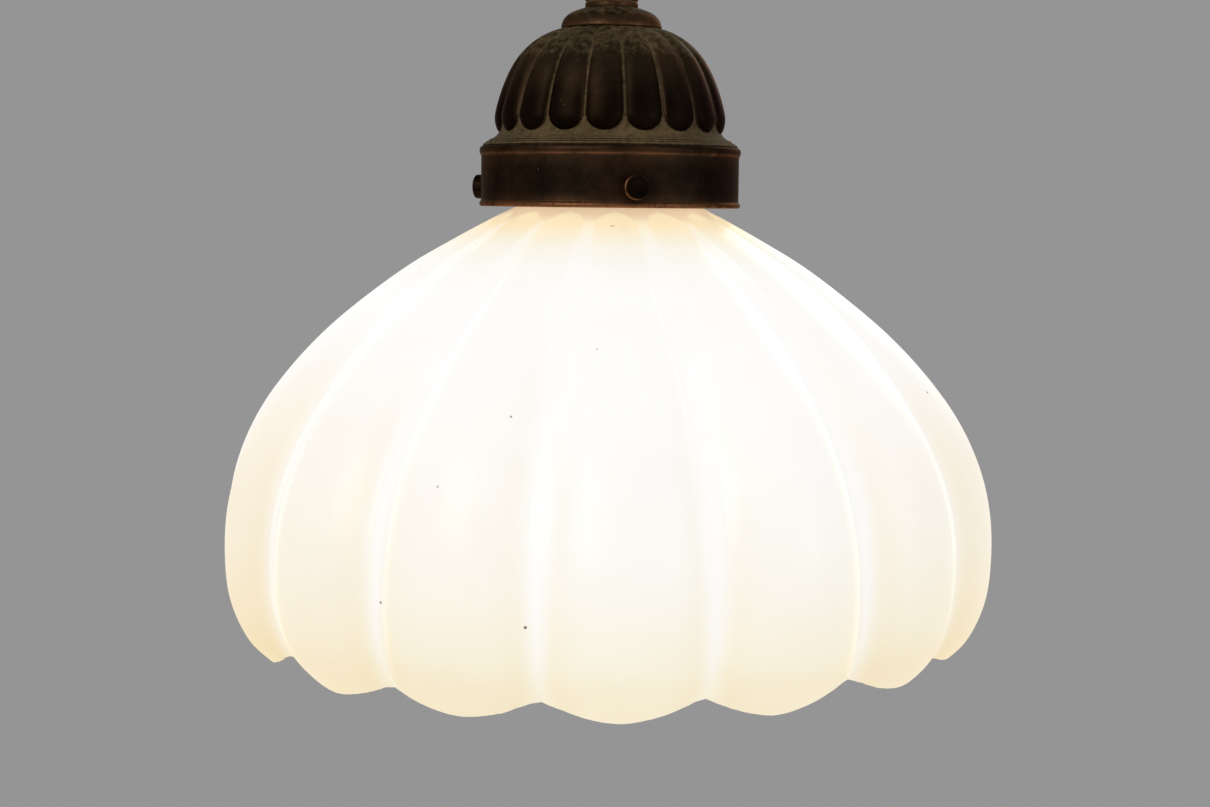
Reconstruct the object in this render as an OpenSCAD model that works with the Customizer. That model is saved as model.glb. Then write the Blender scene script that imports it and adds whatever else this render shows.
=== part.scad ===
// Pendant ceiling light: melon-ribbed opal glass shade in a gadrooned bronze
// fitter, on a short tube stem that hangs from a ceiling hook under a bell canopy.
// Frame: millimetres, +Z up, origin at the centre of the ceiling bracket's top
// faces, so the whole lamp hangs below z = 0. The front is -Y.

/* [Overall] */
// Distance from the ceiling to the lower edge of the fitter band
drop = 346; // [300:2:700]

/* [Shade] */
// Number of ribs (lobes) round the glass shade
shade_lobes = 15; // [12:1:18]
// Largest radius of the shade, over the lobes
shade_r = 134.2; // [124:0.2:140]
// Glass wall thickness
shade_wall = 3.5; // [3:0.1:4]
// Bearing of the front lobe, right of the front
shade_bearing = 2.1; // [0:0.1:24]
// Outer radius of the lip at the top of the neck
lip_r = 39.5; // [37:0.5:40]

/* [Fitter] */
// Outer radius of the fitter band's wall
band_r = 44.7; // [44:0.1:46]
// Height of the fitter band
band_h = 20; // [18:0.5:22]
// Height of the set screws above the band's lower edge
screw_z = 6.8; // [6:0.1:6.8]
// Bearing of the front set screw, right of the front
screw_bearing = 10.3; // [0:0.1:60]
// Number of gadroons round the dome and the canopy
gadroons = 18; // [16:2:24]

/* [Stem] */
// Outer radius of the stem tube
tube_r = 6.5; // [6:0.1:7]
// Wall thickness of the stem tube
tube_wall = 1.5; // [1:0.1:2]

/* [Ceiling] */
// Spacing of the two ceiling screw holes
hole_spacing = 66; // [60:1:70]
// Radius of the ceiling screw holes
hole_r = 2.6; // [2.2:0.1:3]
// Radius of the canopy's rim
canopy_r = 54; // [52:0.5:60]

/* [Hidden] */
$fn = 96;
zb = -drop;              // lower edge of the fitter band
wire_r = 2.75;           // hook wire
hook_z = -30;            // centre of the hook's bowl
hook_R = 8;              // bowl radius at the wire's centre
link_r = 2.25;           // link wire
link_R = 8.5;            // link radius at the wire's centre
eye_r = 2.5;             // eye wire
eye_R = 7.5;             // eye radius at the wire's centre
gap = 0.3;               // running gap of the hanging pieces
link_top = hook_z - hook_R + wire_r + link_r + gap;
link_z = link_top - link_R;
eye_top = link_z - link_R + link_r + eye_r + gap;
eye_z = eye_top - eye_R;
screw_step = 120;        // three set screws

// ---------- helpers ----------
function lerp(a, b, t) = a + (b - a) * t;
function clamp01(x) = x < 0 ? 0 : x > 1 ? 1 : x;
function smooth(x) = let (t = clamp01(x)) t * t * (3 - 2 * t);
function unit(v) = v / norm(v);
function at(P, i) = P[i < 0 ? 0 : i > len(P) - 1 ? len(P) - 1 : i];
// Smooth curve through the list P, at the real index u
function curve(P, u) =
    let (i = floor(u < 0 ? 0 : u > len(P) - 1.0001 ? len(P) - 1.0001 : u), t = u - i,
         a = at(P, i - 1), b = at(P, i), c = at(P, i + 1), d = at(P, i + 2))
    0.5 * (2 * b + (c - a) * t + (2 * a - 5 * b + 4 * c - d) * t * t
           + (3 * b - a - 3 * c + d) * t * t * t);
// Outward normal of a profile that runs downwards, as [r, z]
function normal(P, u) = let (t = curve(P, u + 0.05) - curve(P, u - 0.05)) unit([-t[1], t[0]]);
// A closed skin over rings of m points; the last ring joins the first
module skin(rings) {
    n = len(rings);
    m = len(rings[0]);
    polyhedron(points = [for (r = rings) for (p = r) p],
               faces = [for (i = [0 : n - 1]) for (j = [0 : m - 1])
                            let (a = i * m + j, b = i * m + (j + 1) % m,
                                 c = ((i + 1) % n) * m + j, d = ((i + 1) % n) * m + (j + 1) % m)
                            each [[a, b, d], [a, d, c]]],
               convexity = 10);
}
function round_ring(r, z, m) = [for (j = [0 : m - 1]) [r * cos(360 * j / m), r * sin(360 * j / m), z]];
// A tube swept along a route, for wires; the route never runs along Y
module wire(route, r, per = 3, sides = 8) {
    n = (len(route) - 1) * per;
    pts = [for (i = [0 : n]) curve(route, i / per)];
    tan = [for (i = [0 : n]) unit(pts[min(n, i + 1)] - pts[max(0, i - 1)])];
    rings = [for (i = [0 : n])
                let (a = unit(cross(tan[i], [0, 1, 0])), b = cross(tan[i], a))
                [for (j = [0 : sides - 1]) pts[i] + r * (a * cos(360 * j / sides) + b * sin(360 * j / sides))]];
    polyhedron(points = [for (g = rings) for (p = g) p],
               faces = concat(
                   [for (i = [0 : n - 1]) for (j = [0 : sides - 1])
                       let (a = i * sides + j, b = i * sides + (j + 1) % sides,
                            c = a + sides, d = b + sides)
                       each [[a, d, b], [a, c, d]]],
                   [[for (j = [0 : sides - 1]) j]],
                   [[for (j = [0 : sides - 1]) n * sides + sides - 1 - j]]),
               convexity = 10);
}
module lathe(P) { rotate_extrude() polygon(P); }
module radial(bearing, z) { translate([0, 0, z]) rotate([0, 0, bearing - 90]) rotate([0, 90, 0]) children(); }

// ---------- ceiling ----------
module ceiling_bracket() {
    color("gray") difference() {
        union() {
            for (s = [-1, 1]) {
                translate([s > 0 ? 22 : -42, -12, -3]) cube([20, 24, 3]);
                translate([s > 0 ? 22 : -25, -12, -12]) cube([3, 24, 10]);
            }
            translate([-25, -12, -12]) cube([50, 24, 3]);
        }
        for (s = [-1, 1]) translate([s * hole_spacing / 2, 0, -5]) cylinder(h = 7, r = hole_r);
        translate([0, 0, -14]) cylinder(h = 7, r = 3.2);
        translate([16, 0, -14]) cylinder(h = 7, r = 4.2);
    }
}
module ceiling_hook() {
    color("dimgray") union() {
        translate([0, 0, -18]) cylinder(h = 15, r = 3);
        translate([0, 0, -14]) cylinder(h = 2, r = 6);
        wire([[0, 0, -14.5], [0, 0, -17], [0.6, 0, -19.6], [3.2, 0, -22.2], [6.4, 0, -25.2], [8, 0, -30],
              [6.93, 0, -34], [4, 0, -36.93], [0, 0, -38], [-4, 0, -36.93], [-6.93, 0, -34], [-8, 0, -30],
              [-8.2, 0, -28.2], [-9, 0, -26.4]], wire_r, 3, 12);
    }
}
module hook_nut() {
    color("silver") translate([0, 0, -8]) difference() {
        cylinder(h = 4.6, r = 5.77, $fn = 6);
        translate([0, 0, -1]) cylinder(h = 7, r = 3.05);
    }
}
module hook_washer() {
    color("silver") translate([0, 0, -9]) difference() {
        cylinder(h = 1, r = 6.5);
        translate([0, 0, -1]) cylinder(h = 3, r = 3.2);
    }
}
module link_ring() {
    color("dimgray") translate([0, 0, link_z]) rotate([0, 90, 0]) rotate_extrude() translate([link_R, 0]) circle(link_r);
}

// ---------- stem ----------
eye_seat = eye_z - eye_R - 6; // top face of the coupler
module stem_eye() {
    color("saddlebrown") union() {
        translate([0, 0, eye_z]) rotate([90, 0, 0]) rotate_extrude() translate([eye_R, 0]) circle(eye_r);
        translate([0, 0, eye_seat]) cylinder(h = 5, r1 = 6, r2 = 3.4);
        translate([0, 0, eye_seat - 6.5]) cylinder(h = 7, r = 3.95);
    }
}
module stem_coupler() {
    color("saddlebrown") difference() {
        translate([0, 0, eye_seat]) lathe([[0, 0], [8, 0], [9, -1], [9, -8], [8.4, -8.6], [9, -9.2],
            [9, -16], [8.4, -16.6], [9, -17.2], [9, -21.2], [8, -22], [0, -22]]);
        translate([0, 0, eye_seat - 7]) cylinder(h = 8, r = 4);
        translate([0, 0, eye_seat - 15]) cylinder(h = 8.1, r = 5);
        translate([0, 0, eye_seat - 23]) cylinder(h = 8, r = tube_r + 0.05);
        translate([0, 0, eye_seat - 11]) rotate([0, 90, 0]) cylinder(h = 12, r = 3.8);
        translate([5.2, 0, eye_seat - 3]) rotate([0, 90, 0]) cylinder(h = 5, r = 1.55);
    }
}
module window_grommet() {
    color("black") translate([0, 0, eye_seat - 11]) rotate([0, 90, 0]) difference() {
        union() {
            translate([0, 0, 5.6]) cylinder(h = 4.6, r = 3.7);
            translate([0, 0, 9.1]) cylinder(h = 1.4, r = 4.8);
        }
        cylinder(h = 12, r = 2.7);
    }
}
module earth_screw() {
    color("gold") translate([0, 0, eye_seat - 3]) rotate([0, 90, 0]) difference() {
        union() {
            translate([0, 0, 5.4]) cylinder(h = 5, r = 1.5);
            translate([0, 0, 10.1]) cylinder(h = 2, r = 2.4);
        }
        translate([-0.4, -4, 11.3]) cube([0.8, 8, 2]);
    }
}
module earth_lead() {
    color("green") union() {
        // ring lug under the screw's head
        translate([0, 0, eye_seat - 3]) rotate([0, 90, 0]) translate([0, 0, 9.05]) difference() {
            union() { cylinder(h = 1, r = 2.7); translate([-1.2, 0, 0]) cube([2.4, 5.6, 1]); }
            translate([0, 0, -1]) cylinder(h = 3, r = 1.55);
        }
        wire([[9.5, 4.9, eye_seat - 3], [11, 5.8, eye_seat - 3], [15, 5.6, eye_seat - 3.6], [19, 3.4, eye_seat - 4.2],
              [21.4, 1, eye_seat - 4.2], [22, 0, eye_seat - 2], [22, 0, eye_seat + 2]], 1.1);
    }
}
module terminal_block() {
    color("ivory") translate([22, 0, eye_seat]) difference() {
        union() {
            translate([-5, -12, 0]) cube([10, 24, 15]);
            for (y = [-8, 0, 8]) translate([0, y, 15]) cylinder(h = 1.5, r = 3.2);
        }
        for (y = [-8, 0, 8]) {
            translate([0, y, -1]) cylinder(h = 19, r = 1.7);
            for (z = [4.2, 10.8]) translate([0, y, z]) rotate([0, 90, 0]) cylinder(h = 8, r = 2);
        }
        for (y = [-4, 4]) for (s = [0, 1]) translate([s ? 4 : -6, y - 0.6, -1]) cube([2, 1.2, 17]);
    }
}
module terminal_screws() {
    color("silver") for (y = [-8, 0, 8]) for (z = [4.2, 10.8])
        translate([22, y, eye_seat + z]) rotate([0, 90, 0]) difference() {
            translate([0, 0, 1.9]) cylinder(h = 2.4, r = 1.9);
            translate([-0.3, -3, 3.7]) cube([0.6, 6, 2]);
        }
}
module lead(s) {
    wire([[0, s * 9, zb + 31.1], [0, s * 9, zb + 35.4], [0, s * 7.2, zb + 38.4], [0, s * 4, zb + 40.6], [0, s * 1.9, zb + 42.8],
          [0, s * 1.3, zb + 46], [0, s * 1.3, zb + 60], [0, s * 1.3, -220], [0, s * 1.3, -160], [0, s * 1.3, eye_seat - 30],
          [0, s * 1.3, eye_seat - 17], [1, s * 1.25, eye_seat - 13], [4, s * 1.25, eye_seat - 11.1],
          [8, s * 1.25, eye_seat - 11], [12.5, s * 1.6, eye_seat - 10.8], [17.5, s * 4.2, eye_seat - 9.4], [21.2, s * 7.4, eye_seat - 5.4],
          [22, s * 8, eye_seat - 1], [22, s * 8, eye_seat + 3]], 1.1, 2);
}
module live_wire() { color("brown") lead(1); }
module neutral_wire() { color("royalblue") lead(-1); }
tube_top = eye_seat - 15;
module stem_tube() {
    color("saddlebrown") difference() {
        translate([0, 0, zb + 78]) cylinder(h = tube_top - zb - 78, r = tube_r);
        translate([0, 0, zb + 77]) cylinder(h = tube_top - zb - 70, r = tube_r - tube_wall);
    }
}
module stem_collar() {
    color("saddlebrown") translate([0, 0, zb]) difference() {
        lathe([[0, 68.3], [9.15, 68.3], [9.15, 70], [8.8, 70.4], [9.15, 70.8], [9.15, 72.2], [8.8, 72.6], [9.15, 73],
               [9.15, 74.4], [8.6, 75.4], [8.2, 78], [8.4, 81], [9, 82.4], [9, 84], [8.2, 85.4], [6.9, 86], [0, 86]]);
        translate([0, 0, 67]) cylinder(h = 12, r = 5);
        translate([0, 0, 78]) cylinder(h = 9, r = tube_r + 0.05);
    }
}

// ---------- fitter ----------
module dome_cap() {
    color("saddlebrown") translate([0, 0, zb]) difference() {
        lathe([[0, 61.2], [17.3, 61.2], [17.5, 61.8], [17.3, 62.7], [16.9, 63.8], [16.2, 64.9], [15.2, 65.8], [13.6, 66.7],
               [12.4, 67.2], [10.8, 67.8], [9.6, 68.3], [0, 68.3]]);
        lathe([[0, 60], [15.6, 60], [15.6, 62.4], [14.9, 64], [13, 65.3], [10, 66.2], [0, 66.2]]);
        translate([0, 0, 60]) cylinder(h = 10, r = 5);
    }
}
// Base surface of the dome from the top down; the gadroons stand on its first part
dome_base = [[16.3, 61.0], [21.1, 58.9], [25.8, 55.6], [30, 51], [32.9, 46.2], [35.2, 40.8], [36.9, 35.6], [38, 31],
             [38.3, 27.2], [38.6, 25.6], [39.6, 24.2], [41.2, 23.2], [42.5, 22.7], [42.9, 21.9], [43.7, 21.4], [44.2, 20.7], [44.3, 20]];
dome_inner = [[41.5, 20], [37.4, 23.6], [35.6, 28], [34.2, 35.6], [31, 43.6], [26, 50.4], [18, 56.4], [15, 58.2], [5.2, 58.2]];
dome_relief = [0.6, 0.9, 1.3, 1.6, 1.8, 1.9, 1.9, 1.9, 1.9, 1.9];
dome_end = 9.1; // index on the base profile where the gadroons end
// Height of a gadroon, 0 to 1: f across it (-1 to 1), v the profile index
function gadroon(f, v, end, taper) =
    let (w = 0.9, e = v > end - taper ? (v - end + taper) / taper : 0, q = (f / w) * (f / w) + e * e)
    q < 1 ? sqrt(1 - q) : 0;
module gadrooned_dome() {
    steps = 6;
    m = gadroons * steps;
    rows = [0, 1, 2, 3.2, 4.6, 6, 7.2, 8, 8.6, 9, 9.14, 10, 11, 12, 13.5, 16];
    color("saddlebrown") translate([0, 0, zb]) rotate([0, 0, -93]) skin(concat(
        [round_ring(5.2, 61.2, m), round_ring(16.3, 61.2, m)],
        [for (v = rows) let (b = curve(dome_base, v), n = normal(dome_base, v), a = curve(dome_relief, v))
            [for (j = [0 : m - 1])
                let (f = (j % steps) / steps * 2, g = gadroon(f > 1 ? f - 2 : f, v, dome_end, 1.7), p = b + n * a * g)
                [p[0] * cos(360 * j / m), p[0] * sin(360 * j / m), min(p[1], 61.15)]]],
        [for (p = dome_inner) round_ring(p[0], p[1], m)]));
}
module fitter_band() {
    h = band_h;
    color("sienna") translate([0, 0, zb]) difference() {
        lathe([[band_r - 1.4, 0.6], [band_r - 0.8, 0], [band_r + 0.2, 0], [band_r + 0.6, 0.4], [band_r + 0.6, 1.2], [band_r, 1.9],
               [band_r, h - 3.4], [band_r + 0.4, h - 2.9], [band_r + 0.6, h - 2.1], [band_r + 0.6, h - 1], [band_r + 0.2, h - 0.2],
               [band_r - 0.4, h], [41.5, h], [41.5, h - 1.4], [band_r - 1.4, h - 1.4]]);
        for (k = [0 : 2]) radial(screw_bearing + k * screw_step, screw_z) cylinder(h = 60, r = 2.3);
    }
}
module screw_bosses() {
    color("sienna") translate([0, 0, zb]) intersection() {
        cylinder(h = 15, r = band_r - 1.4);
        for (k = [0 : 2]) radial(screw_bearing + k * screw_step, screw_z) translate([0, 0, 40.6]) difference() {
            cylinder(h = 5, r = 4);
            translate([0, 0, -1]) cylinder(h = 8, r = 2.05);
        }
    }
}
module set_screw(k) {
    color("saddlebrown") translate([0, 0, zb]) radial(screw_bearing + k * screw_step, screw_z) difference() {
        union() {
            translate([0, 0, 32]) cylinder(h = 14, r = 2);
            translate([0, 0, 45.5]) lathe([[0, 0], [3.9, 0], [4.3, 0.4], [4.3, 3.2], [4.1, 4], [3.5, 4.6], [2.4, 4.95], [0, 5.1]]);
        }
    }
}
module set_screw_1() { set_screw(0); }
module set_screw_2() { set_screw(1); }
module set_screw_3() { set_screw(2); }
module threaded_nipple() {
    color("silver") translate([0, 0, zb + 43.5]) difference() {
        cylinder(h = 34, r = 4.95);
        translate([0, 0, -1]) cylinder(h = 36, r = 3.5);
    }
}
module dome_washer() {
    color("silver") translate([0, 0, zb + 56.7]) difference() {
        cylinder(h = 1.5, r = 13);
        translate([0, 0, -1]) cylinder(h = 4, r = 5.05);
    }
}
module nipple_nut() {
    color("silver") translate([0, 0, zb + 51.7]) difference() {
        cylinder(h = 5, r = 8.1, $fn = 6);
        translate([0, 0, -1]) cylinder(h = 7, r = 5);
    }
}

// ---------- lampholder ----------
module holder_cap() {
    color("goldenrod") translate([0, 0, zb]) difference() {
        lathe([[0, 30], [18.2, 30], [18.2, 36], [17.2, 39.5], [14.6, 42.4], [10.5, 44.4], [8.6, 45.2], [8.2, 46], [8.2, 50.9], [7.4, 51.7], [0, 51.7]]);
        lathe([[0, 29], [17.25, 29], [17.25, 35.5], [15.6, 39], [12.6, 41.4], [8.6, 43], [0, 43]]);
        translate([0, 0, 40]) cylinder(h = 14, r = 5);
    }
}
module holder_sleeve() {
    color("goldenrod") translate([0, 0, zb]) difference() {
        lathe([[0, -6], [17.6, -6], [17.9, -5.4], [17.9, -4.4], [17.2, -3.8], [17.2, 34], [0, 34]]);
        translate([0, 0, -7]) cylinder(h = 45, r = 16.1);
    }
}
module holder_insulator() {
    color("white") translate([0, 0, zb]) difference() {
        translate([0, 0, -5]) cylinder(h = 35, r = 16);
        translate([0, 0, -6]) cylinder(h = 25, r = 14.35);
        translate([0, 0, 15]) cylinder(h = 20, r = 2.1);
    }
}
module holder_thread() {
    color("gold") translate([0, 0, zb]) difference() {
        translate([0, 0, -4.4]) cylinder(h = 23, r = 14.3);
        translate([0, 0, -5]) cylinder(h = 25, r = 13.45);
    }
}
module centre_contact() {
    color("gold") translate([0, 0, zb]) union() {
        translate([-4, -1.6, 18]) cube([8, 3.2, 0.7]);
        translate([0, 0, 18.5]) cylinder(h = 12.5, r = 2);
    }
}
module holder_terminals() {
    color("gold") for (s = [-1, 1]) translate([0, s * 9, zb + 30]) difference() {
        translate([-3, -3, 0]) cube([6, 6, 5]);
        translate([0, 0, 0.9]) cylinder(h = 6, r = 1.5);
        translate([2, 0, 2.6]) rotate([0, 90, 0]) cylinder(h = 3, r = 1.5);
    }
}

// ---------- canopy ----------
canopy_base = [[canopy_r - 1, -7], [canopy_r, -8.2], [canopy_r, -14.6], [canopy_r - 1.2, -16], [canopy_r - 1.6, -17.6],
               [canopy_r - 3.6, -19.6], [canopy_r - 7, -21.4], [canopy_r - 7.6, -23], [canopy_r - 6.8, -30], [canopy_r - 8, -40],
               [canopy_r - 11, -50], [canopy_r - 16, -60.5], [canopy_r - 22.6, -70.5], [canopy_r - 31, -79.6], [canopy_r - 39.4, -86.6], [12.6, -89.4],
               [11, -91], [11, -93.4], [10, -94.6]];
canopy_inner = [[6.9, -94.6], [6.9, -92.2], [12, -86.4], [21, -78.6], [30, -69], [36.4, -59.4], [41, -49.4], [43.8, -40], [44.6, -28], [45, -19.5], [canopy_r - 2, -15], [canopy_r - 2, -7]];
canopy_relief = [0, 0, 0, 0, 0, 0, 0, 0, 1.7, 1.9, 1.9, 1.8, 1.6, 1.2, 0.7, 0, 0, 0, 0];
module canopy_cup() {
    steps = 4;
    m = gadroons * steps;
    rows = [0, 1, 2, 3, 4, 5, 6, 7, 7.35, 7.8, 8.5, 9.5, 10.5, 11.5, 12.5, 13.4, 14.2, 15, 16, 17, 18];
    color("saddlebrown") rotate([0, 0, -93]) skin(concat(
        [for (v = rows) let (b = curve(canopy_base, v), n = normal(canopy_base, v), a = curve([for (x = canopy_relief) max(x, 0)], v))
            [for (j = [0 : m - 1])
                let (f = (j % steps) / steps * 2, q = f > 1 ? f - 2 : f, k = v < 7.2 || v > 14.6 ? 0 : 1,
                     g = k * gadroon(q, -v, -7.2, 0.9), p = b + n * max(a, k * 1.2) * g * (v > 13 ? (14.6 - v) / 1.6 : 1))
                [p[0] * cos(360 * j / m), p[0] * sin(360 * j / m), p[1]]]],
        [for (p = canopy_inner) round_ring(p[0], p[1], m)]));
}
collar_z = -94.6;
module canopy_collar() {
    color("saddlebrown") translate([0, 0, collar_z]) difference() {
        lathe([[0, 0], [9, 0], [10, -1], [10.2, -3], [9.6, -5], [9.6, -7.4], [10.2, -8.4], [9.6, -10], [8, -11], [0, -11]]);
        translate([0, 0, -12]) cylinder(h = 14, r = tube_r + 0.4);
        translate([0, 0, -6.2]) rotate([0, 0, 60]) rotate([0, 90, 0]) cylinder(h = 14, r = 1.6);
    }
}
module canopy_screw() {
    color("saddlebrown") translate([0, 0, collar_z - 6.2]) rotate([0, 0, 60]) rotate([0, 90, 0]) union() {
        translate([0, 0, 6.95]) cylinder(h = 3.7, r = 1.55);
        translate([0, 0, 10.5]) lathe([[0, 0], [2.6, 0], [2.8, 0.3], [2.8, 2.4], [2.2, 3], [0, 3.3]]);
    }
}

// ---------- shade ----------
k_r = shade_r / 134.2;
// Lobe crest profile below the neck, from the top down
crest = [[32.6, 0], [41.6, -4.5], [53.6, -11], [69, -20], [84.3, -31], [98.2, -42.5], [110.8, -55.5], [121.7, -70], [129.3, -85.5],
         [133.3, -101], [134.2, -117], [132.5, -132], [126.8, -145], [118.2, -153.6]];
// Depth of the grooves between the lobes, at the same places
groove = [0, 0.5, 1.2, 2, 2.9, 4.4, 6, 7, 7.1, 6.9, 6.6, 6.3, 5.2, 3.6];
shade_end = len(crest) - 1;
scallop = 0.5; // how much shorter the grooves are than the lobes, as an index on the profile
// Lobe height, 0 in a groove to 1 on the crest: f across it (-1 to 1), u the profile index
function lobe(f, u) =
    let (w = lerp(0.8, 0.94, smooth(u / 6)), x = abs(f) / w,
         body = x < 1 ? pow(1 - pow(x, 2.2), 0.8) : 0, edge = 1 - pow(abs(f), 1.5))
    lerp(body, edge, smooth((u - 11) / 2));
function shade_point(u0, f, inward) =
    let (cut = scallop * (1 - lobe(f, shade_end)), u = u0 > 9 ? 9 + (u0 - 9) * (shade_end - 9 - cut) / (shade_end - 9) : u0,
         n = normal(crest, u), d = curve(groove, u) * (1 - lobe(f, u)))
    curve(crest, u) - n * (d + inward);
neck_out = [[27.2, 14.6], [lip_r - 1.1, 14.6], [lip_r, 13.5], [lip_r, 10.4], [lip_r - 0.8, 9.3], [34, 9.2], [31.6, 9.1], [30.3, 8], [29.8, 5.6], [29.8, 4], [30.5, 2]];
neck_in = [[31, -3.8], [28, -2.2], [26.2, 1.4], [26.2, 13.6]];
module shade_glass() {
    steps = 6;
    m = shade_lobes * steps;
    color("ivory") translate([0, 0, zb]) rotate([0, 0, shade_bearing - 90]) skin(concat(
        [for (p = neck_out) round_ring(p[0], p[1], m)],
        [for (u = [for (i = [0 : 19]) i < 16 ? i * 0.7 : 10.5 + (i - 15) * 0.625]) [for (j = [0 : m - 1])
            let (f = (j % steps) / steps * 2, p = shade_point(u, f > 1 ? f - 2 : f, 0), r = p[0] * (p[0] > 60 ? k_r : 1))
            [r * cos(360 * j / m), r * sin(360 * j / m), p[1]]]],
        [for (u = [13, 12.2, 11.2, 10, 8.8, 7.6, 6.4, 5.2, 4, 2.9, 1.8, 0.9]) [for (j = [0 : m - 1])
            let (f = (j % steps) / steps * 2, p = shade_point(u, f > 1 ? f - 2 : f, shade_wall), r = p[0] * (p[0] > 60 ? k_r : 1))
            [r * cos(360 * j / m), r * sin(360 * j / m), p[1]]]],
        [for (p = neck_in) round_ring(p[0], p[1], m)]));
}

// ---------- bulb ----------
bulb_out = [[0, -87.5], [9, -86.4], [17, -83], [23.6, -77.4], [28.4, -68.6], [30, -58], [28.6, -47], [24, -36], [19, -26], [15.4, -17], [12.9, -11], [12.3, -8.4], [12.3, -6]];
module bulb_glass() {
    color("white") translate([0, 0, zb]) difference() {
        lathe(concat([for (i = [0 : 48]) let (p = curve(bulb_out, i / 4)) [max(0, p[0]), p[1]]], [[12.3, -4.8], [0, -4.8]]));
        lathe(concat([for (i = [0 : 48]) let (p = curve(bulb_out, i / 4)) [max(0, p[0] - (i > 0 ? 0.9 : 0)), p[1] + (i < 12 ? 0.9 : 0)]], [[11.4, -3.6], [0, -3.6]]));
    }
}
module bulb_cap() {
    color("silver") translate([0, 0, zb]) difference() {
        lathe(concat([[0, -7.5], [13.2, -7.5], [13.2, -4]],
                     [for (i = [0 : 8]) let (z = -3.2 + i * 1.8) each [[12.4, z], [13.1, z + 0.9]]],
                     [[12.2, 12.6], [9, 15.4], [0, 15.4]]));
        lathe([[0, -8], [12.6, -8], [12.6, -4.5], [11.8, -3.9], [11.8, 12.2], [8.4, 14.8], [0, 14.8]]);
        translate([0, 0, 10]) cylinder(h = 8, r = 6.5);
    }
}
module bulb_insulator() {
    color("black") translate([0, 0, zb]) difference() {
        lathe([[0, 13.4], [6.45, 13.4], [6.45, 15.5], [8.4, 15.5], [5, 17], [0, 17]]);
        translate([0, 0, 10]) cylinder(h = 10, r = 1.2);
    }
}
module bulb_contact() {
    color("silver") translate([0, 0, zb]) union() {
        translate([0, 0, 15]) cylinder(h = 2.3, r = 1.15);
        translate([0, 0, 17]) cylinder(h = 0.7, r = 3.2);
    }
}
module glass_mount() {
    color("lightblue") translate([0, 0, zb]) union() {
        lathe([[0, -4.2], [10.8, -4.2], [10.8, -5], [6.8, -8.6], [4.2, -14], [3.4, -26], [0, -26]]);
        translate([-4, -1.4, -34]) cube([8, 2.8, 8.2]);
    }
}
module filament() {
    color("orange") translate([0, 0, zb]) union() {
        for (s = [-1, 1]) translate([0, 0, -34]) rotate([0, s * 20, 0]) translate([s * 3, 0, -22]) cylinder(h = 22, r = 0.45);
        translate([0, 0, -55.4]) rotate([0, 90, 0]) translate([0, 0, -10.6]) cylinder(h = 21.2, r = 0.9);
    }
}

ceiling_bracket();
ceiling_hook();
hook_nut();
hook_washer();
link_ring();
stem_eye();
stem_coupler();
window_grommet();
earth_screw();
earth_lead();
terminal_block();
terminal_screws();
live_wire();
neutral_wire();
stem_tube();
stem_collar();
dome_cap();
gadrooned_dome();
fitter_band();
screw_bosses();
threaded_nipple();
dome_washer();
nipple_nut();
holder_cap();
holder_sleeve();
holder_insulator();
holder_thread();
centre_contact();
holder_terminals();
canopy_cup();
canopy_collar();
canopy_screw();
set_screw_1();
set_screw_2();
set_screw_3();
shade_glass();
bulb_glass();
bulb_cap();
bulb_insulator();
bulb_contact();
glass_mount();
filament();
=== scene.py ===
"""Looks for the pendant ceiling light: lit opal glass shade, aged bronze fitter, stem, canopy and ceiling fixing."""
import math
import random

import bpy
import numpy as np
from mathutils import Matrix, Vector
from mathutils.bvhtree import BVHTree


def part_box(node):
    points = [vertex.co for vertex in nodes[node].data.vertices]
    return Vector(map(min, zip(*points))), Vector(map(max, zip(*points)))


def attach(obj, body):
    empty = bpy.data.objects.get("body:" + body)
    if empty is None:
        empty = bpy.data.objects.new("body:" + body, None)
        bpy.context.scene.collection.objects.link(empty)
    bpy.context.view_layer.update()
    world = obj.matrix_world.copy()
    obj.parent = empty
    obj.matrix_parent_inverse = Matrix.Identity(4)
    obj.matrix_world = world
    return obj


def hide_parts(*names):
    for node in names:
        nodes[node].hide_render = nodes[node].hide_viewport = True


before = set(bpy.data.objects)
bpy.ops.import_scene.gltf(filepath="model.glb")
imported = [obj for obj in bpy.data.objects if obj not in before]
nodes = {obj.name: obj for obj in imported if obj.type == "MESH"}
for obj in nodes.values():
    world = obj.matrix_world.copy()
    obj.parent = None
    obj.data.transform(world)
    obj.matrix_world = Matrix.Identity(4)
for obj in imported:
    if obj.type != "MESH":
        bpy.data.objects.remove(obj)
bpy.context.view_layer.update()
scene = bpy.context.scene
MM = 0.001


def mid(node, axis):
    lo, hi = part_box(node)
    return (lo[axis] + hi[axis]) / 2


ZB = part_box("fitter_band")[0][2]  # lower edge of the fitter band
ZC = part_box("canopy_cup")[1][2] + 7 * MM  # the ceiling, z = 0
SHADE_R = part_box("shade_glass")[1][0]

# ---------------------------------------------------------------- camera
PX = 1210.0
CAM_D = 0.724
CAM_F = 2069.0  # in pixels of the 1210 wide frame
pitch = math.radians(5.655)
cam_z = ZB + 3.0 * MM
cam_data = bpy.data.cameras.new("camera")
cam_data.sensor_width = 36
cam_data.lens = CAM_F * 36 / PX
cam = bpy.data.objects.new("camera", cam_data)
scene.collection.objects.link(cam)
cam.location = (0, -CAM_D, cam_z)
yaw = 2.5 / CAM_F
roll = math.radians(0.6)
cam.rotation_euler = (Matrix.Rotation(yaw, 3, "Z") @ Matrix.Rotation(math.pi / 2 - pitch, 3, "X") @ Matrix.Rotation(roll, 3, "Z")).to_euler()
cam_data.clip_start = 0.01
scene.camera = cam


# ---------------------------------------------------------------- numeric helpers
def smooth(x):
    x = np.clip(x, 0, 1)
    return x * x * (3 - 2 * x)


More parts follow.
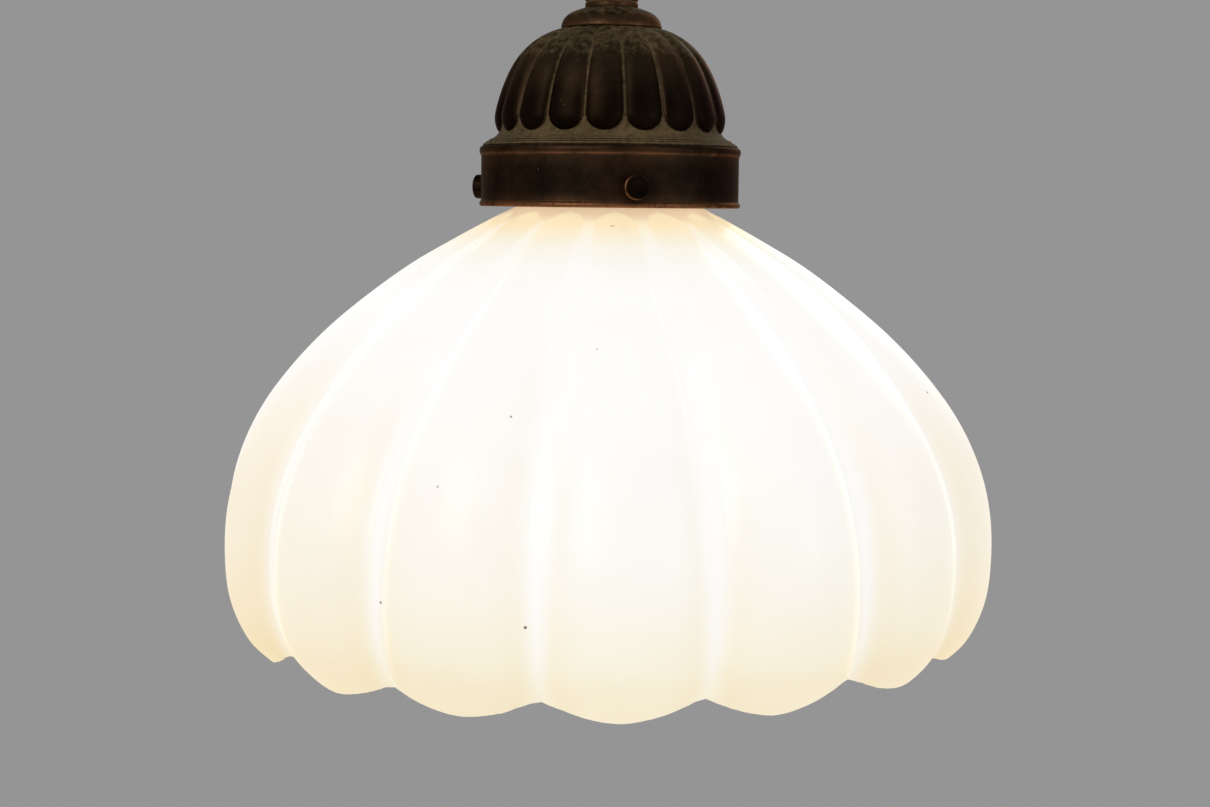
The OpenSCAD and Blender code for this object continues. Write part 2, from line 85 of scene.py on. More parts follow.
def curve(P, u):
    """Smooth curve through the points P at the indices u (Catmull-Rom, ends repeated)."""
    P = np.asarray(P, float)
    if P.ndim == 1:
        P = P[:, None]
    u = np.clip(np.asarray(u, float), 0, len(P) - 1.0001)
    i = np.floor(u).astype(int)
    t = (u - i)[..., None]
    at = lambda k: P[np.clip(k, 0, len(P) - 1)]
    a, b, c, d = at(i - 1), at(i), at(i + 1), at(i + 2)
    return 0.5 * (2 * b + (c - a) * t + (2 * a - 5 * b + 4 * c - d) * t * t + (3 * b - a - 3 * c + d) * t ** 3)


def normal2(P, u):
    """Outward normal [r, z] of a profile that runs downwards."""
    t = curve(P, np.asarray(u) + 0.05) - curve(P, np.asarray(u) - 0.05)
    n = np.stack([-t[..., 1], t[..., 0]], -1)
    return n / np.linalg.norm(n, axis=-1, keepdims=True)


def wave(x, seed, terms, period=1.0):
    """Smooth noise along x that repeats after period; a sum of whole waves with seeded phases."""
    rng = random.Random(seed)
    out = np.zeros_like(x, dtype=float)
    for k, amp in terms:
        out += amp * np.sin(2 * math.pi * k * x / period + rng.uniform(0, 2 * math.pi))
    return out


def grid_object(name, rings, attrs=None, close=False, caps=(False, False)):
    """A mesh from rings [row, column, xyz] in metres, columns wrap round. attrs: name -> [row, column] or [row, column, 4]."""
    n, m, _ = rings.shape
    verts = rings.reshape(-1, 3)
    rows = n if close else n - 1
    i = np.repeat(np.arange(rows), m)
    j = np.tile(np.arange(m), rows)
    a = i * m + j
    b = i * m + (j + 1) % m
    c = ((i + 1) % n) * m + j
    d = ((i + 1) % n) * m + (j + 1) % m
    faces = [tuple(q) for q in np.stack([a, c, d, b], 1).tolist()]
    if caps[0]:
        faces.append(tuple(range(m)))
    if caps[1]:
        faces.append(tuple(reversed(range((n - 1) * m, n * m))))
    me = bpy.data.meshes.new(name)
    me.from_pydata(verts.tolist(), [], faces)
    for key, val in (attrs or {}).items():
        val = np.asarray(val, float)
        if val.ndim == 3:
            at = me.attributes.new(key, "FLOAT_COLOR", "POINT")
            at.data.foreach_set("color", val.reshape(-1).astype("f"))
        else:
            at = me.attributes.new(key, "FLOAT", "POINT")
            at.data.foreach_set("value", val.reshape(-1).astype("f"))
    me.shade_smooth()
    me.update()
    ob = bpy.data.objects.new(name, me)
    scene.collection.objects.link(ob)
    return ob


def bearing(deg):
    """Angle in the row frame of a bearing to the right of the front (-Y)."""
    return math.radians(deg - 90)


# ---------------------------------------------------------------- materials
def new_material(name):
    mat = bpy.data.materials.new(name)
    mat.use_nodes = True
    nt = mat.node_tree
    nt.nodes.clear()
    out = nt.nodes.new("ShaderNodeOutputMaterial")
    bsdf = nt.nodes.new("ShaderNodeBsdfPrincipled")
    nt.links.new(bsdf.outputs[0], out.inputs[0])
    return mat, nt, bsdf


class Kit:
    """Short names for building a node tree."""

    def __init__(self, nt):
        self.nt = nt

    def node(self, kind, **props):
        n = self.nt.nodes.new(kind)
        for k, v in props.items():
            setattr(n, k, v)
        return n

    def put(self, socket, value):
        if isinstance(value, bpy.types.NodeSocket):
            self.nt.links.new(value, socket)
        elif value is not None:
            socket.default_value = value

    def coords(self):
        return self.node("ShaderNodeTexCoord").outputs["Object"]

    def mapping(self, vec, scale=(1, 1, 1), loc=(0, 0, 0)):
        n = self.node("ShaderNodeMapping")
        self.put(n.inputs["Vector"], vec)
        n.inputs["Scale"].default_value = scale
        n.inputs["Location"].default_value = loc
        return n.outputs[0]

    def noise(self, vec, scale, detail=4.0, rough=0.55, distortion=0.0):
        n = self.node("ShaderNodeTexNoise")
        self.put(n.inputs["Vector"], vec)
        n.inputs["Scale"].default_value = scale
        n.inputs["Detail"].default_value = detail
        n.inputs["Roughness"].default_value = rough
        n.inputs["Distortion"].default_value = distortion
        return n.outputs["Fac"]

    def voronoi(self, vec, scale, feature="F1"):
        n = self.node("ShaderNodeTexVoronoi", feature=feature)
        self.put(n.inputs["Vector"], vec)
        n.inputs["Scale"].default_value = scale
        return n.outputs["Distance"]

    def attr(self, name, out="Fac"):
        n = self.node("ShaderNodeAttribute", attribute_name=name)
        return n.outputs[out]

    def map(self, v, a, b, c=0.0, d=1.0, kind="SMOOTHSTEP"):
        n = self.node("ShaderNodeMapRange", interpolation_type=kind)
        self.put(n.inputs["Value"], v)
        for key, val in (("From Min", a), ("From Max", b), ("To Min", c), ("To Max", d)):
            n.inputs[key].default_value = val
        return n.outputs[0]

    def math(self, op, a, b=None, clamp=False):
        n = self.node("ShaderNodeMath", operation=op, use_clamp=clamp)
        self.put(n.inputs[0], a)
        if b is not None:
            self.put(n.inputs[1], b)
        return n.outputs[0]

    def mix(self, fac, a, b, blend="MIX"):
        n = self.node("ShaderNodeMix", data_type="RGBA", blend_type=blend)
        self.put(n.inputs[0], fac)
        for s, v in ((n.inputs[6], a), (n.inputs[7], b)):
            if isinstance(v, tuple) and len(v) == 3:
                v = (*v, 1)
            self.put(s, v)
        return n.outputs[2]

    def split(self, vec):
        n = self.node("ShaderNodeSeparateXYZ")
        self.put(n.inputs[0], vec)
        return n.outputs

    def bump(self, height, strength, distance=0.001, normal=None):
        n = self.node("ShaderNodeBump")
        self.put(n.inputs["Height"], height)
        n.inputs["Strength"].default_value = strength
        n.inputs["Distance"].default_value = distance
        if normal is not None:
            self.put(n.inputs["Normal"], normal)
        return n.outputs[0]


def bronze(name, tone=(0.033, 0.0215, 0.0115), warm=(0.052, 0.029, 0.0145), wear_and_highlight_colour=(0.34, 0.14, 0.06), dusting=1.0):
    """Aged dark bronze. Two point attributes: the first, 0 to 1, brings a dusty khaki film and under 0 darkens the
    metal, as painted shade on the dome's undercuts; the second brings bare copper-coloured metal, partly painted
    highlight on the band's edges and the set screws' rims.
    """
    mat, nt, p = new_material(name)
    k = Kit(nt)
    co = k.coords()
    blotch = k.noise(co, 55, 5, 0.6)
    fine = k.noise(co, 420, 6, 0.65)
    grain = k.noise(co, 1500, 3, 0.6)
    dust_and_shade_raw = k.attr("dust_and_shade")
    dust_in = k.math("MAXIMUM", dust_and_shade_raw, 0.0)
    wear_and_highlight_in = k.attr("wear_and_highlight")
    metal = k.mix(k.map(blotch, 0.42, 0.68), (*tone,), (*warm,))
    metal = k.mix(k.map(fine, 0.5, 0.75, 0, 0.55), metal, (tone[0] * 0.45, tone[1] * 0.45, tone[2] * 0.45))
    # darker where the attribute is under zero, as painted shade on the dome's undercuts
    metal = k.mix(k.map(k.math("ADD", dust_and_shade_raw, k.map(blotch, 0.35, 0.7, -0.15, 0.15, "LINEAR")), -0.8, 0.05, 0.9, 0.0), metal, (tone[0] * 0.16, tone[1] * 0.13, tone[2] * 0.1))
    # bare metal along the edges, broken up by the noise; on the band's edges and the set screws' rims it is partly a
    # painted highlight
    w = k.math("MULTIPLY", wear_and_highlight_in, k.map(k.math("ADD", k.math("MULTIPLY", blotch, 0.5), k.math("MULTIPLY", fine, 0.5)), 0.36, 0.6, 0.15, 1.0))
    metal = k.mix(w, metal, wear_and_highlight_colour)
    # dust lies where the attribute says, with uneven edges
    d = k.math("ADD", dust_in, k.map(fine, 0.3, 0.7, -0.28, 0.28, "LINEAR"))
    d = k.map(d, 0.18, 0.95, 0.0, 0.92 * dusting)
    dust_col = k.mix(k.map(blotch, 0.35, 0.7), (0.118, 0.082, 0.036), (0.170, 0.121, 0.056))
    dust_col = k.mix(k.map(grain, 0.45, 0.7), dust_col, (0.215, 0.16, 0.082))
    colour = k.mix(d, metal, dust_col)
    # a few pale specks of dirt
    speck = k.map(k.voronoi(co, 190), 0.0, 0.075, 1.0, 0.0)
    speck = k.math("MULTIPLY", speck, k.map(k.noise(co, 26, 2, 0.5), 0.56, 0.66))
    colour = k.mix(k.math("MULTIPLY", speck, 0.55), colour, (0.30, 0.25, 0.15))
    nt.links.new(colour, p.inputs["Base Color"])
    metallic = k.map(d, 0.0, 0.8, 0.82, 0.08, "LINEAR")
    nt.links.new(metallic, p.inputs["Metallic"])
    rough = k.math("ADD", k.map(blotch, 0.3, 0.75, 0.36, 0.52, "LINEAR"), k.math("MULTIPLY", d, 0.36))
    rough = k.math("SUBTRACT", rough, k.math("MULTIPLY", w, 0.1))
    nt.links.new(rough, p.inputs["Roughness"])
    h = k.math("ADD", k.math("MULTIPLY", blotch, 0.5), k.math("MULTIPLY", fine, 0.35))
    h = k.math("ADD", h, k.math("MULTIPLY", grain, k.map(d, 0, 1, 0.05, 0.2, "LINEAR")))
    nt.links.new(k.bump(h, 0.32, 0.0009), p.inputs["Normal"])
    p.inputs["Specular IOR Level"].default_value = 0.2
    p.inputs["Specular Tint"].default_value = (0.56, 0.44, 0.33, 1)
    return mat


def plain(name, colour, rough, metallic=0.0, scale=300, amount=0.18, bump=0.08, coat=0.0, stretch=(1, 1, 1), spec=0.5):
    """A material with fine colour and roughness variation, for small parts."""
    mat, nt, p = new_material(name)
    k = Kit(nt)
    co = k.mapping(k.coords(), stretch)
    n1 = k.noise(co, scale, 5, 0.6)
    n2 = k.noise(co, scale * 5, 3, 0.6)
    dark = tuple(c * (1 - amount) for c in colour)
    light = tuple(min(1.0, c * (1 + amount * 0.7)) for c in colour)
    col = k.mix(k.map(n1, 0.3, 0.7), dark, light)
    nt.links.new(col, p.inputs["Base Color"])
    p.inputs["Metallic"].default_value = metallic
    nt.links.new(k.map(n1, 0.25, 0.75, max(0.03, rough - 0.07), min(1, rough + 0.09), "LINEAR"), p.inputs["Roughness"])
    nt.links.new(k.bump(n2, bump, 0.0004), p.inputs["Normal"])
    p.inputs["Specular IOR Level"].default_value = spec
    if coat:
        p.inputs["Coat Weight"].default_value = coat
        p.inputs["Coat Roughness"].default_value = 0.06
    return mat


def opal_glass():
    """Lit opal glass. Attribute glow is the light that comes through the wall."""
    mat, nt, p = new_material("opal_glass")
    k = Kit(nt)
    co = k.coords()
    cloud = k.noise(co, 22, 4, 0.55, 0.6)
    veil = k.noise(k.mapping(co, (1, 1, 0.35)), 70, 3, 0.5)
    seeds = k.map(k.voronoi(co, 62), 0.0, 0.028, 1.0, 0.0)
    seeds = k.math("MULTIPLY", seeds, k.map(k.noise(co, 9, 2, 0.5), 0.5, 0.6))
    glow = k.attr("glow", "Color")
    glow = k.mix(k.map(cloud, 0.3, 0.75, 0.0, 0.5), glow, (0.992, 0.980, 0.955), "MULTIPLY")
    glow = k.mix(k.map(veil, 0.35, 0.75, 0.0, 0.4), glow, (0.992, 0.985, 0.965), "MULTIPLY")
    glow = k.mix(seeds, glow, (0.42, 0.30, 0.2), "MULTIPLY")
    # single seeds and specks in the glass
    for at, size, depth in SPECKS:
        n = k.node("ShaderNodeVectorMath", operation="DISTANCE")
        k.put(n.inputs[0], co)
        n.inputs[1].default_value = at
        glow = k.mix(k.map(n.outputs["Value"], size * 0.55, size, depth, 0.0), glow, (0.10, 0.05, 0.03))
    nt.links.new(glow, p.inputs["Emission Color"])
    p.inputs["Emission Strength"].default_value = 1.0
    base = k.mix(k.map(cloud, 0.3, 0.75), (0.225, 0.22, 0.21), (0.20, 0.193, 0.18))
    base = k.mix(seeds, base, (0.08, 0.06, 0.045))
    nt.links.new(base, p.inputs["Base Color"])
    nt.links.new(k.map(cloud, 0.3, 0.7, 0.30, 0.38, "LINEAR"), p.inputs["Roughness"])
    h = k.math("ADD", k.math("MULTIPLY", cloud, 0.8), k.math("MULTIPLY", veil, 0.2))
    nt.links.new(k.bump(h, 0.08, 0.002), p.inputs["Normal"])
    p.inputs["Specular IOR Level"].default_value = 0.26
    mat.cycles.emission_sampling = "NONE"
    return mat


def bulb_glass_material():
    """Frosted bulb glass, hottest round the filament."""
    mat, nt, p = new_material("bulb_frost")
    k = Kit(nt)
    co = k.coords()
    x, y, z = k.split(co)
    hot = k.map(k.math("ABSOLUTE", k.math("SUBTRACT", z, ZB - 0.058)), 0.0, 0.05, 1.0, 0.0)
    grain = k.noise(co, 900, 3, 0.6)
    col = k.mix(hot, (1.0, 0.66, 0.38), (1.0, 0.88, 0.70))
    nt.links.new(col, p.inputs["Emission Color"])
    nt.links.new(k.map(hot, 0, 1, 1.6, 5.5, "LINEAR"), p.inputs["Emission Strength"])
    nt.links.new(k.mix(grain, (0.80, 0.78, 0.74), (0.88, 0.86, 0.82)), p.inputs["Base Color"])
    p.inputs["Roughness"].default_value = 0.38
    nt.links.new(k.bump(grain, 0.05, 0.0003), p.inputs["Normal"])
    mat.cycles.emission_sampling = "FRONT"
    return mat


# bearing right of the front in degrees, height over the band's lower edge in mm, radius in mm, strength
SPECK_LIST = [(-32.2, -119.2, 0.55, 0.9), (-10.6, -122.7, 0.62, 1.0), (-14.7, -62.1, 0.5, 0.75), (-23.0, -82.3, 0.5, 0.6), (-2.0, -42.5, 0.45, 0.5), (1.3, -5.9, 0.95, 0.4),
              (70, -60, 0.5, 0.8), (112, -101, 0.6, 0.9), (155, -38, 0.5, 0.7), (197, -118, 0.5, 0.8), (241, -74, 0.55, 0.9), (285, -99, 0.45, 0.6)]

M = {
    "bronze": bronze("bronze_patina"),
    "band": bronze("bronze_band", tone=(0.024, 0.0155, 0.009), warm=(0.050, 0.0255, 0.0135), dusting=0.8),
    "bulb": bulb_glass_material(),
    "zinc": plain("zinc_steel", (0.44, 0.445, 0.45), 0.46, 1.0, 160, 0.16, 0.03),
    "blacksteel": plain("dark_steel", (0.055, 0.052, 0.05), 0.48, 0.75, 240, 0.35, 0.25),
    "brass": plain("satin_brass", (0.66, 0.47, 0.20), 0.34, 1.0, 200, 0.22, 0.08),
    "porcelain": plain("porcelain", (0.84, 0.82, 0.76), 0.16, 0.0, 90, 0.05, 0.03, coat=0.6),
    "rubber": plain("black_rubber", (0.025, 0.025, 0.026), 0.72, 0.0, 500, 0.25, 0.15),
    "green": plain("green_sleeving", (0.12, 0.42, 0.08), 0.42, 0.0, 400, 0.1, 0.05),
    "brown": plain("brown_sleeving", (0.16, 0.065, 0.03), 0.42, 0.0, 400, 0.12, 0.05),
    "blue": plain("blue_sleeving", (0.03, 0.10, 0.42), 0.42, 0.0, 400, 0.1, 0.05),
    "terminal": plain("white_plastic", (0.78, 0.76, 0.70), 0.4, 0.0, 300, 0.06, 0.06),
    "vitrite": plain("black_glass", (0.014, 0.014, 0.018), 0.12, 0.0, 200, 0.2, 0.03, coat=0.5),
    "bulbmetal": plain("bulb_metal", (0.70, 0.70, 0.71), 0.26, 1.0, 300, 0.12, 0.06),
    "clear": plain("clear_glass", (0.75, 0.8, 0.8), 0.05, 0.0, 200, 0.03, 0.0),
    "tungsten": plain("tungsten", (0.5, 0.42, 0.3), 0.4, 1.0, 900, 0.2, 0.2, stretch=(6, 1, 1)),
}
M["clear"].node_tree.nodes["Principled BSDF"].inputs["Transmission Weight"].default_value = 0.9
M["tungsten"].node_tree.nodes["Principled BSDF"].inputs["Emission Color"].default_value = (1, 0.6, 0.25, 1)
M["tungsten"].node_tree.nodes["Principled BSDF"].inputs["Emission Strength"].default_value = 8.0

NODE_MATERIAL = {
    "ceiling_bracket": "zinc", "ceiling_hook": "blacksteel", "hook_nut": "zinc", "hook_washer": "zinc",
    "link_ring": "bronze", "stem_eye": "bronze", "stem_coupler": "bronze", "window_grommet": "rubber",
    "earth_screw": "brass", "earth_lead": "green", "terminal_block": "terminal", "terminal_screws": "zinc",
    "live_wire": "brown", "neutral_wire": "blue", "stem_tube": "bronze", "stem_collar": "bronze",
    "dome_cap": "bronze", "gadrooned_dome": "bronze", "fitter_band": "band", "screw_bosses": "band",
    "threaded_nipple": "zinc", "dome_washer": "zinc", "nipple_nut": "zinc", "holder_cap": "brass",
    "holder_sleeve": "brass", "holder_insulator": "porcelain", "holder_thread": "brass", "centre_contact": "brass",
    "holder_terminals": "brass", "canopy_cup": "bronze", "canopy_collar": "bronze", "canopy_screw": "band",
    "set_screw_1": "band", "set_screw_2": "band", "set_screw_3": "band", "shade_glass": "clear",
    "bulb_glass": "bulb", "bulb_cap": "bulbmetal", "bulb_insulator": "vitrite", "bulb_contact": "bulbmetal",
    "glass_mount": "clear", "filament": "tungsten",
}
for n, ob in nodes.items():
    mat = M[NODE_MATERIAL[n]]
    if not ob.material_slots:
        ob.data.materials.append(mat)
    for s in ob.material_slots:
        s.material = mat


def stand_for(ob, node, body, mat):
    ob.data.materials.append(M[mat])
    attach(ob, body)
    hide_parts(node)


# ---------------------------------------------------------------- shade
LOBES = 15
SHADE_BEARING = 2.85
RIM_LAG = 1.3  # the ground rim's points lie this many degrees to the left of the webs
CREST = np.array([[32.6, 0], [41.6, -4.5], [53.6, -11], [69, -20], [84.3, -31], [98.2, -42.5], [110.8, -55.5], [121.7, -70], [129.3, -85.5],
                  [133.3, -101], [134.2, -117], [132.5, -132], [126.8, -145], [118.2, -153.6]])
DEPTH = np.array([0, 0.5, 1.2, 2.0, 3.0, 4.5, 6.0, 6.9, 7.1, 7.0, 6.8, 6.5, 5.6, 4.4])
END = len(CREST) - 1
WALL = 3.5
# light through the wall by height, on a rib and on the web between two: z in mm, then linear red, green, blue
RIB_TONE = np.array([[-160, 0.952, 0.862, 0.655], [-150, 0.950, 0.864, 0.662], [-141, 0.945, 0.866, 0.680], [-134, 0.947, 0.896, 0.745], [-124, 0.954, 0.913, 0.800],
                     [-112, 0.952, 0.932, 0.863], [-97, 0.956, 0.947, 0.905], [-83, 0.965, 0.957, 0.932], [-63, 0.972, 0.970, 0.958], [-28, 0.974, 0.973, 0.964],
                     [-19, 0.960, 0.950, 0.905], [-12.9, 0.956, 0.920, 0.810], [-9.8, 0.962, 0.880, 0.700], [-5.4, 0.968, 0.805, 0.530], [-2.4, 0.962, 0.810, 0.545],
                     [-1.0, 0.860, 0.660, 0.435], [0.5, 0.680, 0.520, 0.370]])
WEB_TONE = np.array([[-160, 0.940, 0.860, 0.660], [-147, 0.942, 0.880, 0.700], [-141, 0.950, 0.912, 0.780], [-134, 0.960, 0.950, 0.905], [-124, 0.972, 0.970, 0.958],
                     [-112, 0.976, 0.976, 0.974], [-40, 0.978, 0.978, 0.976], [-28, 0.978, 0.977, 0.970], [-19, 0.974, 0.968, 0.935], [-12.9, 0.968, 0.945, 0.870],
                     [-8, 0.970, 0.905, 0.745], [-5.2, 0.966, 0.850, 0.610], [-3.4, 0.890, 0.700, 0.490], [-1.0, 0.800, 0.620, 0.435], [0.5, 0.680, 0.520, 0.370]])
REFLECTED = np.array([0.112, 0.112, 0.104])  # what the studio light adds to the glass
# the rim is ground by hand: how much shorter each rib is, and each cusp to its right, as an index on the profile
RIB_TRIM = [0.08, 0.13, 0.42, 0.42, 0.12, 0.22, 0.15, 0.06, 0.19, 0.26, 0.10, 0.16, 0.175, 0.08, 0.0]
CUSP_CUT = [0.62, 0.78, 0.56, 0.66, 0.72, 0.58, 0.64, 0.75, 0.60, 0.69, 0.62, 0.71, 0.64, 0.47, 0.50]
# extra cream per rib: most on the ribs seen side-on from the front, as painted shading of the slanting glass; on the
# other ribs it varies from rib to rib
RIB_CREAM = [0.0, 0.22, 0.70, 1.35, 0.8, 0.4, 0.9, 0.6, 0.3, 0.8, 0.5, 0.9, 1.80, 0.90, 0.42]


def petal_width(u):
    return 0.86 - 0.16 * np.exp(-((u - 2.9) / 2.0) ** 2) + 0.045 * smooth((u - 7.5) / 4)


def petal(f, u):
    """Height of a rib, 0 on the web to 1 on the crest, and how far across it (0 middle, 1 edge, more on the web)."""
    w = petal_width(u)
    top = np.clip((1.25 - u) / 0.8, 0, 0.999)
    low = np.clip((u - 11.4) / 2.3, 0, 0.999)
    w = w * np.sqrt(1 - top ** 2) * (1 - low ** 2.6) ** 0.42
    x = np.abs(f) / np.maximum(w, 0.02)
    h = np.where(x < 1, (1 - np.minimum(x, 1) ** 2.2) ** 0.95, 0)
    edge = 1 - np.abs(f) ** 1.6
    k = smooth((u - 10.6) / 1.9)
    return h * (1 - k) + edge * k, x


def shade_rings():
    per = 48
    m = LOBES * per
    j = np.arange(m)
    lobe_no = np.floor((j + per // 2) / per).astype(int) % LOBES
    f = ((j + per // 2) % per) / per * 2 - 1  # -1..1 across a lobe, 0 on its crest
    theta = 2 * math.pi * j / m + bearing(SHADE_BEARING)
    turn = j / m
    rng = random.Random(5)
    lobe_fat = np.array([rng.uniform(-0.25, 0.25) for _ in range(LOBES)])[lobe_no]
    trim = np.array(RIB_TRIM)[lobe_no]
    cusp = np.where(f > 0, np.array(CUSP_CUT)[lobe_no], np.array(CUSP_CUT)[(lobe_no - 1) % LOBES])
    # short straight facets left by the grinding, and a few chips
    knots = 150
    at = [(i + rng.uniform(-0.35, 0.35)) / knots for i in range(knots)]
    val = [rng.uniform(-0.03, 0.035) for _ in range(knots)]
    val = [v + (0.035 if rng.random() < 0.08 else 0) for v in val]
    facets = np.interp(turn, np.array([at[-1] - 1] + at + [at[0] + 1]), np.array([val[-1]] + val + [val[0]]))
    fine = wave(turn, 11, [(151, 0.005), (212, 0.006), (263, 0.004)])
    scallop = np.maximum(0.0, trim + (cusp - trim) * np.maximum(0, 1 - np.sqrt((1 - np.abs(f)) ** 2 + 0.055 ** 2)) ** 1.45 + facets + fine)
    scallop = np.interp(turn + RIM_LAG / 360, turn, scallop, period=1.0)
    cream = np.array(RIB_CREAM)
    here = cream[lobe_no]
    beside = np.where(f > 0, cream[(lobe_no + 1) % LOBES], cream[(lobe_no - 1) % LOBES])
    cream = here + (beside - here) * 0.5 * smooth((np.abs(f) - 0.6) / 0.4)
    out, glow = [], []

    def add(r, z, col):
        out.append(np.stack([r * np.cos(theta), r * np.sin(theta), np.broadcast_to(z, theta.shape)], -1) * MM + np.array([0, 0, ZB]))
        glow.append(np.concatenate([np.clip(col, 0, 1), np.ones((m, 1))], 1))

    def look_up(table, z):
        return np.stack([np.interp(z, table[:, 0], table[:, c]) for c in (1, 2, 3)], -1)

    def tone(u, x, z, inside=False):
        """Light through the wall: white webs, slightly creamier ribs, peach by the neck and cream at the rim, with
        extra cream on the rib flanks and on the ribs seen side-on from the front as painted shade.
        """
        rib, web = look_up(RIB_TONE, z), look_up(WEB_TONE, z)
        on_rib = (1 - smooth((x - 0.86) / 0.34))
        # at the rim the rib's round end closes over the web, with a pale line between them
        on_rib = np.maximum(on_rib, smooth((x - 1.22) / 0.3) * smooth((u - 12.0) / 0.5) * 0.8)[:, None]
        low = smooth((-z - 30) / 60)[:, None]
        # painted shade: rib flanks lower down turn a little creamier, as glass seen at a slant
        edge = (smooth((x - 0.50) / 0.38) * (1 - smooth((x - 0.90) / 0.26)))[:, None]
        rib = rib * (1 - edge * low * np.array([0.012, 0.022, 0.048]))
        col = web * (1 - on_rib) + rib * on_rib
        col = col * (1 - (cream[:, None] * low * (0.35 + 0.65 * on_rib)) * np.array([0.018, 0.058, 0.130]))
        if inside:
            col = col * np.array([0.84, 0.80, 0.71])
        return col - REFLECTED

    flat = np.zeros(m)
    neck = [(27.6, 14.6), (28.6, 14.9), (37.6, 14.9), (38.8, 14.4), (39.4, 13.5), (39.5, 12.4), (39.5, 11.2), (39.1, 10.1), (38.3, 9.45), (36, 9.3),
            (33.2, 9.2), (31.6, 9.1), (30.6, 8.3), (30.0, 6.8), (29.8, 5.0), (30.0, 3.2), (30.8, 1.4)]
    for r, z in neck:
        add(np.full(m, r), np.full(m, min(z, 14.6)), np.tile([0.48, 0.36, 0.25], (m, 1)) * (0.75 + 0.02 * (14.6 - z)))
    steps = np.concatenate([np.linspace(0, 2, 22), np.linspace(2, 11, 46)[1:], np.linspace(11, 13, 26)[1:]])
    rows = []
    for s in steps:
        cut = scallop * smooth((s - 8) / 5) * (s / 13)
        u = s - cut
        p = curve(CREST, u)
        n = normal2(CREST, u)
        h, x = petal(f, u)
        d = curve(DEPTH, u)[:, 0] * (1 - h) - lobe_fat * h * smooth((u - 3) / 4) * 0.5
        q = p - n * d[:, None]
        rows.append((u, p, n, q, x))
        add(q[:, 0], q[:, 1], tone(u, x, q[:, 1]))
    # rounded rim
    u, p, n, q, x = rows[-1]
    t2 = np.stack([n[:, 1], -n[:, 0]], -1)  # down the profile
    for a in (25, 60, 90, 120, 155):
        c, sn = math.cos(math.radians(a)), math.sin(math.radians(a))
        e = q - n * (WALL * 0.5 * (1 - c)) + t2 * (0.9 * sn)
        add(e[:, 0], e[:, 1], tone(u, x, e[:, 1]))
    inner = np.concatenate([np.linspace(13, 11, 12), np.linspace(11, 2, 30)[1:], np.linspace(2, 0.9, 4)[1:]])
    for s in inner:
        cut = scallop * smooth((s - 8) / 5) * (s / 13)
        u = s - cut
        p = curve(CREST, u)
        n = normal2(CREST, u)
        h, x = petal(f * 0.96, u)
        d = curve(DEPTH, u)[:, 0] * (1 - h)
        q = p - n * (d + WALL)[:, None]
        add(q[:, 0], q[:, 1], tone(u, x, q[:, 1], True))
    for r, z in [(31.5, -4.2), (29.2, -3.0), (27.4, -1.0), (26.5, 1.4), (26.2, 4.5), (26.2, 9), (26.2, 13.0), (26.6, 14.1)]:
        add(np.full(m, r), np.full(m, z), np.tile([0.75, 0.62, 0.46], (m, 1)) * (1 - 0.02 * max(z, 0)))
    return np.array(out), np.array(glow)


rings, glow = shade_rings()
shade = grid_object("opal_shade", rings, {"glow": glow}, close=True)

# specks in the glass: bearing, height over the band's lower edge in mm, radius in mm, strength
tree = BVHTree.FromObject(shade, bpy.context.evaluated_depsgraph_get())
SPECKS = []
for deg, z, size, depth in SPECK_LIST:
    a = bearing(deg)
    hit = tree.ray_cast(Vector((0.2 * math.cos(a), 0.2 * math.sin(a), ZB + z * MM)), Vector((-math.cos(a), -math.sin(a), 0)))[0]
    if hit is not None:
        SPECKS.append((hit, size * MM, depth))
M["opal"] = opal_glass()
stand_for(shade, "shade_glass", "shade", "opal")
for q in nodes["shade_glass"].material_slots:
    q.material = M["opal"]

# ---------------------------------------------------------------- gadrooned dome
GADROONS = 18
DOME = np.array([[16.3, 61.0], [21.1, 58.9], [25.8, 55.6], [30, 51], [32.9, 46.2], [35.2, 40.8], [36.9, 35.6], [38, 31],
                 [38.3, 27.2], [38.6, 25.6], [39.6, 24.2], [41.2, 23.2], [42.5, 22.7], [42.9, 21.9], [43.7, 21.4], [44.2, 20.7], [44.3, 20]])
DOME_RELIEF = np.array([0.6, 1.0, 1.5, 1.9, 2.1, 2.2, 2.2, 2.15, 2.0, 1.85])


def gadroon(f, v, end, taper, w=0.93, power=2.2):
    """Height of a gadroon, f across it (-1 to 1), v along it, round over the last taper before end."""
    e = np.clip((v - end + taper) / taper, 0, 1)
    across = np.abs(f) / w
    q = across ** power + e ** power
    return np.where(q < 1, np.maximum(0, 1 - np.minimum(q, 1)) ** 0.5, 0), q


